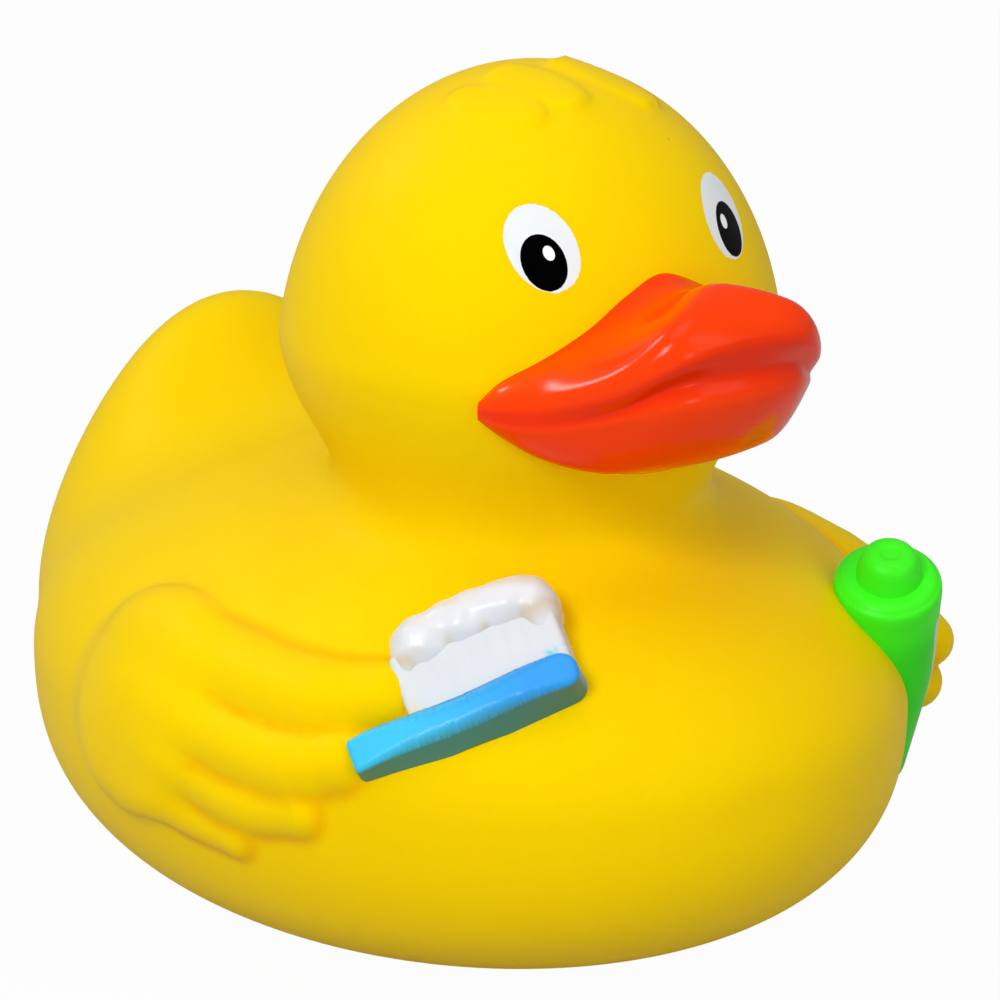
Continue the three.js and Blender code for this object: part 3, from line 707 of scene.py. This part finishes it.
tube = {
    "radius": 4.9, "proud": 3.7, "crimpProud": -1.6, "capRadius": 3.0, "capHeight": 2.9, "capFoot": 0.9,
    "sides": 72, "labelTurn": 80,
}
tubeShoulder = onBody(1, 40, 27, tube["proud"])
tubeCrimp = onBody(1, 54, -17.5, tube["crimpProud"])
tubeLength = float(np.linalg.norm(tubeShoulder - tubeCrimp))
tubeAlong = (tubeShoulder - tubeCrimp) / tubeLength
tubeOut = onBody(1, 51, 4, 1) - onBody(1, 51, 4)
tubeOut -= tubeOut @ tubeAlong * tubeAlong
tubeOut /= np.linalg.norm(tubeOut)
tubeAcross = np.cross(tubeAlong, tubeOut)


# stacked rings of a cylinder, each moved to its place along the tube
def makeTubePart(name, sections, steps):
    sections = np.array(sections, float)
    rings = through(sections, np.linspace(0, 1, steps + 1))
    bpy.ops.mesh.primitive_grid_add(x_subdivisions=tube["sides"], y_subdivisions=steps, size=2)
    part = newPiece(name)
    flat = np.empty(len(part.data.vertices) * 3)
    part.data.vertices.foreach_get("co", flat)
    flat = flat.reshape(-1, 3)
    turn = (flat[:, 0] + 1) * np.pi
    ring = rings[np.rint((flat[:, 1] + 1) / 2 * steps).astype(int)]
    points = (tubeCrimp + np.outer(ring[:, 0], tubeAlong)
              + np.outer(ring[:, 1] * tube["radius"] * np.cos(turn), tubeAcross)
              + np.outer(ring[:, 2] * tube["radius"] * np.sin(turn), tubeOut))
    setCoordinates(part, points)
    setAttribute(part, "rise", ring[:, 0] / tubeLength)
    setAttribute(part, "facing", np.cos(turn - math.radians(tube["labelTurn"])))
    bpy.ops.object.mode_set(mode="EDIT")
    bpy.ops.mesh.select_all(action="SELECT")
    bpy.ops.mesh.remove_doubles(threshold=0.005 * mm)
    bpy.ops.mesh.select_all(action="DESELECT")
    bpy.ops.mesh.select_non_manifold()
    bpy.ops.mesh.fill_holes(sides=0)
    bpy.ops.mesh.select_all(action="SELECT")
    bpy.ops.mesh.normals_make_consistent(inside=False)
    bpy.ops.object.mode_set(mode="OBJECT")
    smooth(part, 50)
    return part


def makeTube():
    foot = tubeLength + tube["capFoot"]
    share = tube["capRadius"] / tube["radius"]
    bodySections = [
        [0, 1.15, 0.55], [0.2 * tubeLength, 1.14, 0.72], [0.5 * tubeLength, 1.08, 0.94], [0.85 * tubeLength, 1.01, 1],
        [tubeLength - 0.3, 1.03, 1.01], [tubeLength + 0.45, 0.94, 0.93], [tubeLength + 0.85, 0.8, 0.79], [foot, 0.4, 0.4],
    ]
    capSections = [
        [foot - 1.2, share, share], [foot + 0.1, share, share],
        [foot + 0.45 * tube["capHeight"], 0.93 * share, 0.93 * share],
        [foot + 0.8 * tube["capHeight"], 0.81 * share, 0.81 * share],
        [foot + 0.97 * tube["capHeight"], 0.6 * share, 0.6 * share],
        [foot + tube["capHeight"], 0.36 * share, 0.36 * share],
        [foot + 0.95 * tube["capHeight"], 0.24 * share, 0.24 * share],
        [foot + 0.94 * tube["capHeight"], 0.02, 0.02],
    ]
    return makeTubePart("tubeBody", bodySections, 70), makeTubePart("tubeCap", capSections, 40)


# materials
def newMaterial(name):
    material = bpy.data.materials.new(name)
    material.use_nodes = True
    nodes = material.node_tree.nodes
    return material, nodes, material.node_tree.links, nodes["Principled BSDF"]


def linear(red, green, blue):
    channels = [(value / 255) for value in (red, green, blue)]
    return tuple(c / 12.92 if c <= 0.04045 else ((c + 0.055) / 1.055) ** 2.4 for c in channels) + (1,)


def makeMouldedGroup():
    group = bpy.data.node_groups.new("mouldedVinyl", "ShaderNodeTree")
    for name, kind, value in (("Scale", "NodeSocketFloat", 1.0), ("Unevenness", "NodeSocketFloat", 0.1),
                              ("Specks", "NodeSocketFloat", 0.5), ("Dimples", "NodeSocketFloat", 0.1)):
        socket = group.interface.new_socket(name, in_out="INPUT", socket_type=kind)
        socket.default_value = value
    group.interface.new_socket("Tint", in_out="OUTPUT", socket_type="NodeSocketFloat")
    group.interface.new_socket("Speck", in_out="OUTPUT", socket_type="NodeSocketFloat")
    group.interface.new_socket("Height", in_out="OUTPUT", socket_type="NodeSocketFloat")
    nodes, links = group.nodes, group.links
    inputs, outputs = nodes.new("NodeGroupInput"), nodes.new("NodeGroupOutput")
    where = nodes.new("ShaderNodeTexCoord")
    size = nodes.new("ShaderNodeVectorMath")
    size.operation = "SCALE"
    links.new(where.outputs["Object"], size.inputs[0])
    links.new(inputs.outputs["Scale"], size.inputs["Scale"])
    cloud = nodes.new("ShaderNodeTexNoise")
    cloud.inputs["Scale"].default_value = 60
    cloud.inputs["Detail"].default_value = 3
    links.new(size.outputs[0], cloud.inputs["Vector"])
    tint = nodes.new("ShaderNodeMath")
    tint.operation = "MULTIPLY"
    links.new(cloud.outputs["Fac"], tint.inputs[0])
    links.new(inputs.outputs["Unevenness"], tint.inputs[1])
    links.new(tint.outputs[0], outputs.inputs["Tint"])
    grain = nodes.new("ShaderNodeTexVoronoi")
    grain.inputs["Scale"].default_value = 130
    grain.inputs["Randomness"].default_value = 1
    links.new(size.outputs[0], grain.inputs["Vector"])
    dot = nodes.new("ShaderNodeMath")
    dot.operation = "LESS_THAN"
    dot.inputs[1].default_value = 0.028
    links.new(grain.outputs["Distance"], dot.inputs[0])
    chance = nodes.new("ShaderNodeSeparateColor")
    links.new(grain.outputs["Color"], chance.inputs[0])
    rare = nodes.new("ShaderNodeMath")
    rare.operation = "GREATER_THAN"
    rare.inputs[1].default_value = 0.93
    links.new(chance.outputs[0], rare.inputs[0])
    both = nodes.new("ShaderNodeMath")
    both.operation = "MULTIPLY"
    links.new(dot.outputs[0], both.inputs[0])
    links.new(rare.outputs[0], both.inputs[1])
    speck = nodes.new("ShaderNodeMath")
    speck.operation = "MULTIPLY"
    links.new(both.outputs[0], speck.inputs[0])
    links.new(inputs.outputs["Specks"], speck.inputs[1])
    links.new(speck.outputs[0], outputs.inputs["Speck"])
    fine = nodes.new("ShaderNodeTexNoise")
    fine.inputs["Scale"].default_value = 900
    fine.inputs["Detail"].default_value = 2
    links.new(size.outputs[0], fine.inputs["Vector"])
    height = nodes.new("ShaderNodeMath")
    height.operation = "MULTIPLY"
    links.new(fine.outputs["Fac"], height.inputs[0])
    links.new(inputs.outputs["Dimples"], height.inputs[1])
    links.new(height.outputs[0], outputs.inputs["Height"])
    return group


def makeOvalGroup():
    group = bpy.data.node_groups.new("paintedOval", "ShaderNodeTree")
    for name, kind, value in (("Local", "NodeSocketVector", (0, 0, 0)), ("Roughness", "NodeSocketFloat", 0.03),
                              ("Softness", "NodeSocketFloat", 0.02)):
        socket = group.interface.new_socket(name, in_out="INPUT", socket_type=kind)
        socket.default_value = value
    group.interface.new_socket("Mask", in_out="OUTPUT", socket_type="NodeSocketFloat")
    nodes, links = group.nodes, group.links
    inputs, outputs = nodes.new("NodeGroupInput"), nodes.new("NodeGroupOutput")
    radius = nodes.new("ShaderNodeVectorMath")
    radius.operation = "LENGTH"
    links.new(inputs.outputs["Local"], radius.inputs[0])
    waver = nodes.new("ShaderNodeTexNoise")
    waver.inputs["Scale"].default_value = 6
    waver.inputs["Detail"].default_value = 4
    links.new(inputs.outputs["Local"], waver.inputs["Vector"])
    centred = nodes.new("ShaderNodeMath")
    centred.operation = "SUBTRACT"
    centred.inputs[1].default_value = 0.5
    links.new(waver.outputs["Fac"], centred.inputs[0])
    edge = nodes.new("ShaderNodeMath")
    edge.operation = "MULTIPLY_ADD"
    links.new(centred.outputs[0], edge.inputs[0])
    links.new(inputs.outputs["Roughness"], edge.inputs[1])
    links.new(radius.outputs["Value"], edge.inputs[2])
    inner = nodes.new("ShaderNodeMath")
    inner.operation = "SUBTRACT"
    inner.inputs[0].default_value = 1
    links.new(inputs.outputs["Softness"], inner.inputs[1])
    mask = nodes.new("ShaderNodeMapRange")
    mask.interpolation_type = "SMOOTHSTEP"
    links.new(edge.outputs[0], mask.inputs["Value"])
    links.new(inner.outputs[0], mask.inputs["From Min"])
    mask.inputs["From Max"].default_value = 1
    mask.inputs["To Min"].default_value = 1
    mask.inputs["To Max"].default_value = 0
    links.new(mask.outputs["Result"], outputs.inputs["Mask"])
    return group


mouldedVinyl = makeMouldedGroup()
paintedOval = makeOvalGroup()

eyes = {
    # places are millimetres from the head's centre, sizes are half widths and half heights
    # painted shade: a more orange ring round each eye white stands in for the shading of a moulded edge
    "shadeRing": {"centre": (9.9, -15.6, 15.9), "size": (3.4, 4.6), "tilt": 27, "soft": 0.2, "rough": 0.02,
             "colour": linear(252, 196, 10)},
    "white": {"centre": (9.9, -15.6, 15.9), "size": (3.05, 4.25), "tilt": 27, "soft": 0.02, "rough": 0.09,
              "colour": linear(234, 240, 242)},
    "pupil": {"centre": (10.1, -16.15, 14.7), "size": (1.95, 2.65), "tilt": 22, "soft": 0.02, "rough": 0.04,
              "colour": linear(2, 2, 3)},
    "glint": {"centre": (9.5, -16.0, 15.4), "size": (0.5, 0.72), "tilt": 22, "soft": 0.06, "rough": 0.04,
              "colour": linear(246, 250, 250)},
}


def eyeMapping(nodes, links, where, side, part):
    centre = np.array(part["centre"]) * [side, 1, 1]
    normal = centre / np.square([head["halfWidth"], head["halfDepth"], head["crown"]])
    normal /= np.linalg.norm(normal)
    level = np.cross([0, 0, 1], normal)
    level /= np.linalg.norm(level)
    upright = np.cross(normal, level)
    tilt = math.radians(part["tilt"]) * -side
    minor = math.cos(tilt) * level + math.sin(tilt) * upright
    major = -math.sin(tilt) * level + math.cos(tilt) * upright
    turn = Matrix(np.column_stack([minor, major, normal]).tolist()).to_euler()
    mapping = nodes.new("ShaderNodeMapping")
    mapping.vector_type = "TEXTURE"
    mapping.inputs["Location"].default_value = placed(centre + [0, -head["forward"], head["height"]])
    mapping.inputs["Rotation"].default_value = turn
    mapping.inputs["Scale"].default_value = (part["size"][0] * mm, part["size"][1] * mm, 12 * mm)
    links.new(where.outputs["Object"], mapping.inputs["Vector"])
    return mapping


def mixColour(nodes, links, factor, under, over):
    mix = nodes.new("ShaderNodeMix")
    mix.data_type = "RGBA"
    links.new(factor, mix.inputs["Factor"])
    for socket, value in ((mix.inputs[6], under), (mix.inputs[7], over)):
        if isinstance(value, tuple):
            socket.default_value = value
        else:
            links.new(value, socket)
    return mix.outputs[2]


def addMoulding(nodes, links, values):
    group = nodes.new("ShaderNodeGroup")
    group.node_tree = mouldedVinyl
    for name, value in values.items():
        group.inputs[name].default_value = value
    return group


def addBump(nodes, links, shader, height, strength, distance):
    bump = nodes.new("ShaderNodeBump")
    bump.inputs["Strength"].default_value = strength
    bump.inputs["Distance"].default_value = distance * mm
    links.new(height, bump.inputs["Height"])
    links.new(bump.outputs["Normal"], shader.inputs["Normal"])


def setShader(shader, **values):
    for name, value in values.items():
        shader.inputs[name].default_value = value


vinyl = {
    "colour": linear(255, 217, 4), "deep": linear(254, 202, 2), "crease": linear(248, 176, 0), "creaseShare": 0.6,
    "speck": linear(120, 84, 10), "roughness": 0.45,
}


def makeVinyl():
    material, nodes, links, shader = newMaterial("yellowVinyl")
    where = nodes.new("ShaderNodeTexCoord")
    moulding = addMoulding(nodes, links, {"Scale": 1, "Unevenness": 0.5, "Specks": 0.8, "Dimples": 0.3})
    colour = mixColour(nodes, links, moulding.outputs["Tint"], vinyl["colour"], vinyl["deep"])
    # painted shade: the wings' creases are tinted a deeper orange, standing in for the shade and glow that gather there
    crease = combine(nodes, links, "MULTIPLY", readAttribute(nodes, "crease"), vinyl["creaseShare"])
    colour = mixColour(nodes, links, crease, colour, vinyl["crease"])
    colour = mixColour(nodes, links, moulding.outputs["Speck"], colour, vinyl["speck"])
    for part in eyes.values():
        for side in (-1, 1):
            mapping = eyeMapping(nodes, links, where, side, part)
            oval = nodes.new("ShaderNodeGroup")
            oval.node_tree = paintedOval
            oval.inputs["Roughness"].default_value = part["rough"]
            oval.inputs["Softness"].default_value = part["soft"]
            links.new(mapping.outputs["Vector"], oval.inputs["Local"])
            colour = mixColour(nodes, links, oval.outputs["Mask"], colour, part["colour"])
    links.new(colour, shader.inputs["Base Color"])
    links.new(colour, shader.inputs["Specular Tint"])
    addBump(nodes, links, shader, moulding.outputs["Height"], 0.15, 0.1)
    setShader(shader, **{
        "Roughness": vinyl["roughness"], "Specular IOR Level": 0.12, "Subsurface Weight": 0.2,
        "Subsurface Radius": (1.0, 0.4, 0.05), "Subsurface Scale": 0.8 * mm})
    return material


def readAttribute(nodes, name):
    attribute = nodes.new("ShaderNodeAttribute")
    attribute.attribute_name = name
    return attribute.outputs["Fac"]


# 0 below the low value, 1 above the high one, with a soft step between
def softStep(nodes, links, value, low, high):
    step = nodes.new("ShaderNodeMapRange")
    step.interpolation_type = "SMOOTHSTEP"
    links.new(value, step.inputs["Value"])
    step.inputs["From Min"].default_value = low
    step.inputs["From Max"].default_value = high
    return step.outputs["Result"]


def combine(nodes, links, operation, first, second):
    node = nodes.new("ShaderNodeMath")
    node.operation = operation
    for socket, value in zip(node.inputs, (first, second)):
        if isinstance(value, (int, float)):
            socket.default_value = value
        else:
            links.new(value, socket)
    return node.outputs[0]


def noise(nodes, links, scale):
    where = nodes.new("ShaderNodeTexCoord")
    cloud = nodes.new("ShaderNodeTexNoise")
    cloud.inputs["Scale"].default_value = scale
    cloud.inputs["Detail"].default_value = 3
    links.new(where.outputs["Object"], cloud.inputs["Vector"])
    return cloud.outputs["Fac"]


# paint sprayed through a mask, with the mix of shades that each one has
def startPaint(name, colour, deep, roughness, specular):
    material, nodes, links, shader = newMaterial(name)
    moulding = addMoulding(nodes, links, {"Scale": 1.7, "Unevenness": 0.6, "Specks": 0.6, "Dimples": 0.3})
    tinted = mixColour(nodes, links, moulding.outputs["Tint"], colour, deep)
    addBump(nodes, links, shader, moulding.outputs["Height"], 0.15, 0.1)
    setShader(shader, **{"Roughness": roughness, "Specular IOR Level": specular})
    return material, nodes, links, shader, tinted


def makeOrangePaint():
    material, nodes, links, shader, colour = startPaint(
        "orangePaint", linear(255, 66, 0), linear(255, 54, 0), 0.18, 0.15)
    down = readAttribute(nodes, "down")
    # painted shade: the upper lip's front face, turned down and forward, is painted a deeper red
    lipShade = combine(nodes, links, "MULTIPLY", softStep(nodes, links, down, 0.4, 0.5), softStep(nodes, links, down, 0.7, 0.6))
    colour = mixColour(nodes, links, combine(nodes, links, "MULTIPLY", lipShade, 0.6), colour, linear(240, 36, 0))
    # painted light: the saddle behind the lip is painted a lighter orange, as a lit and glowing valley
    saddle = combine(nodes, links, "MULTIPLY", softStep(nodes, links, down, 0.02, 0.1), softStep(nodes, links, down, 0.3, 0.16))
    colour = mixColour(nodes, links, combine(nodes, links, "MULTIPLY", saddle, 0.55), colour, linear(254, 84, 0))
    links.new(colour, shader.inputs["Base Color"])
    return material


def makeBluePaint():
    material, nodes, links, shader, colour = startPaint(
        "bluePaint", linear(62, 204, 246), linear(48, 186, 244), 0.35, 0.3)
    colour = mixColour(nodes, links, softStep(nodes, links, readAttribute(nodes, "along"), 5, 19), colour, linear(42, 158, 240))
    # painted shade and painted reflection: the handle's underside is painted olive, for its shade and the yellow light
    # bounced from the body
    under = combine(nodes, links, "MULTIPLY", readAttribute(nodes, "under"), 0.85)
    colour = mixColour(nodes, links, under, colour, linear(74, 122, 66))
    links.new(colour, shader.inputs["Base Color"])
    return material


def makeBristleWhite():
    material, nodes, links, shader, colour = startPaint(
        "bristleWhite", linear(224, 228, 231), linear(210, 216, 222), 0.5, 0.2)
    stain = combine(nodes, links, "MULTIPLY", softStep(nodes, links, readAttribute(nodes, "along"), 9.2, 7.2),
                    softStep(nodes, links, readAttribute(nodes, "up"), 2.6, 0.8))
    stain = combine(nodes, links, "MULTIPLY", stain, softStep(nodes, links, noise(nodes, links, 500), 0.35, 0.6))
    colour = mixColour(nodes, links, stain, colour, linear(246, 214, 120))
    smear = combine(nodes, links, "MULTIPLY", softStep(nodes, links, readAttribute(nodes, "along"), 19.2, 20.6),
                    softStep(nodes, links, readAttribute(nodes, "up"), 1.5, 1.0))
    smear = combine(nodes, links, "MULTIPLY", smear, softStep(nodes, links, noise(nodes, links, 700), 0.5, 0.62))
    colour = mixColour(nodes, links, smear, colour, linear(120, 214, 226))
    links.new(colour, shader.inputs["Base Color"])
    return material


def makePasteWhite():
    material, nodes, links, shader, colour = startPaint(
        "pasteWhite", linear(232, 234, 238), linear(220, 224, 230), 0.3, 0.3)
    # painted shade: beige in the folds between the paste's lower lumps
    low = combine(nodes, links, "MULTIPLY", softStep(nodes, links, readAttribute(nodes, "up"), 6.4, 5.2), 0.7)
    foldShade = combine(nodes, links, "MULTIPLY", softStep(nodes, links, readAttribute(nodes, "foldShade"), 0.2, 1.0), low)
    colour = mixColour(nodes, links, foldShade, colour, linear(214, 196, 160))
    links.new(colour, shader.inputs["Base Color"])
    return material


def makeGreenPaint():
    material, nodes, links, shader, colour = startPaint(
        "greenPaint", linear(70, 255, 40), linear(54, 246, 18), 0.35, 0.14)
    rise, turned = readAttribute(nodes, "rise"), readAttribute(nodes, "facing")
    # painted shade: the green darkens below the shoulder, down to the crimp
    deep = combine(nodes, links, "MULTIPLY", softStep(nodes, links, rise, 0.92, 0.7), 0.5)
    colour = mixColour(nodes, links, deep, colour, linear(30, 200, 4))
    waver = combine(nodes, links, "MULTIPLY", noise(nodes, links, 300), 0.1)
    label = combine(nodes, links, "MULTIPLY", softStep(nodes, links, combine(nodes, links, "ADD", turned, waver), 0.8, 0.84),
                    softStep(nodes, links, rise, 0.86, 0.83))
    label = combine(nodes, links, "MULTIPLY", label, softStep(nodes, links, rise, 0.2, 0.23))
    colour = mixColour(nodes, links, label, colour, linear(214, 226, 230))
    links.new(colour, shader.inputs["Base Color"])
    return material


def makeWhistlePlastic():
    material, nodes, links, shader, colour = startPaint(
        "whistlePlastic", linear(240, 239, 230), linear(228, 226, 214), 0.4, 0.5)
    links.new(colour, shader.inputs["Base Color"])
    return material


def dress(piece, material):
    piece.data.materials.clear()
    piece.data.materials.append(material)
    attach(piece, "root")


# stage, lights and camera
stage = {"floorSize": 6.0, "floorColour": linear(196, 196, 194)}
view = {"azimuth": -35.0879, "elevation": 17.8249, "distance": 450.0, "focalLength": 178.2, "right": 2.7887, "down": 12.3277}
lamps = [
    # name, azimuth, elevation, distance in metres, size in metres, watts
    ("window", -60, 34, 0.75, 0.2, 2.6),
    ("fill", 20, 30, 0.9, 0.5, 1.0),
    ("low", -5, 6, 0.9, 0.16, 0.45),
    ("overhead", -40, 78, 0.9, 0.6, 1.7),
    ("rim", -150, 42, 0.85, 0.12, 0.9),
]


def viewAxes(azimuth, elevation):
    a, e = math.radians(azimuth), math.radians(elevation)
    back = Vector((math.sin(a) * math.cos(e), -math.cos(a) * math.cos(e), math.sin(e)))
    right = Vector((math.cos(a), math.sin(a), 0))
    return right, back.cross(right), back


def makeStage():
    bpy.ops.mesh.primitive_circle_add(vertices=96, radius=stage["floorSize"] / 2, fill_type="NGON")
    floor = newPiece("floor")
    material, nodes, links, shader = newMaterial("paleFloor")
    setShader(shader, **{"Base Color": stage["floorColour"], "Roughness": 0.9, "Specular IOR Level": 0.1})
    seen = nodes.new("ShaderNodeLightPath")
    share = nodes.new("ShaderNodeMath")
    share.operation = "MULTIPLY"
    share.inputs[1].default_value = 0.97
    links.new(seen.outputs["Is Camera Ray"], share.inputs[0])
    glow = nodes.new("ShaderNodeEmission")
    mix = nodes.new("ShaderNodeMixShader")
    links.new(share.outputs[0], mix.inputs["Fac"])
    links.new(shader.outputs[0], mix.inputs[1])
    links.new(glow.outputs[0], mix.inputs[2])
    links.new(mix.outputs[0], nodes["Material Output"].inputs["Surface"])
    floor.data.materials.append(material)
    world = bpy.data.worlds.new("studio")
    bpy.context.scene.world = world
    world.use_nodes = True
    nodes, links = world.node_tree.nodes, world.node_tree.links
    background = nodes["Background"]
    background.inputs["Color"].default_value = (1, 1, 1, 1)
    path = nodes.new("ShaderNodeLightPath")
    level = nodes.new("ShaderNodeMapRange")
    level.inputs["To Min"].default_value = 0.34
    level.inputs["To Max"].default_value = 1.0
    links.new(path.outputs["Is Camera Ray"], level.inputs["Value"])
    links.new(level.outputs["Result"], background.inputs["Strength"])


def makeLamps():
    aim = Vector(placed([0, -head["forward"], 40]))
    for name, azimuth, elevation, distance, size, watts in lamps:
        right, up, back = viewAxes(azimuth, elevation)
        light = bpy.data.lights.new(name, "AREA")
        light.shape = "SQUARE"
        light.size = size
        light.energy = watts
        lamp = bpy.data.objects.new(name, light)
        bpy.context.collection.objects.link(lamp)
        lamp.matrix_world = Matrix.Translation(aim + back * distance) @ Matrix((right, up, back)).transposed().to_4x4()


def makeCamera():
    right, up, back = viewAxes(view["azimuth"], view["elevation"])
    centre = Vector(placed([0, -head["forward"], head["height"]]))
    place = centre + (back * view["distance"] - right * view["right"] - up * view["down"]) * mm
    lens = bpy.data.cameras.new("camera")
    lens.lens = view["focalLength"]
    lens.sensor_width = 36
    lens.clip_start = 0.01
    camera = bpy.data.objects.new("camera", lens)
    bpy.context.collection.objects.link(camera)
    camera.matrix_world = Matrix.Translation(place) @ Matrix((right, up, back)).transposed().to_4x4()
    bpy.context.scene.camera = camera


makeStage()
makeLamps()
makeCamera()
bpy.context.scene.view_settings.view_transform = "Standard"
print("stage, lamps and camera are in place")

duckShell = makeShell()
print("duck shell is done")
billPiece = makeBill()
print("bill is done")
handle, bristles, pastePiece = makeHandle(), makeBristles(), makePaste()
tubeBody, tubeCap = makeTube()
print("brush and tube are done")

yellowVinyl = makeVinyl()
greenPaint = makeGreenPaint()
dress(duckShell, yellowVinyl)
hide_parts("duck_body")
dress(billPiece, makeOrangePaint())
dress(handle, makeBluePaint())
dress(bristles, makeBristleWhite())
dress(pastePiece, makePasteWhite())
dress(tubeBody, greenPaint)
dress(tubeCap, greenPaint)
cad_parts["squeaker"].data.materials.clear()
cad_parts["squeaker"].data.materials.append(makeWhistlePlastic())
print("materials are done")
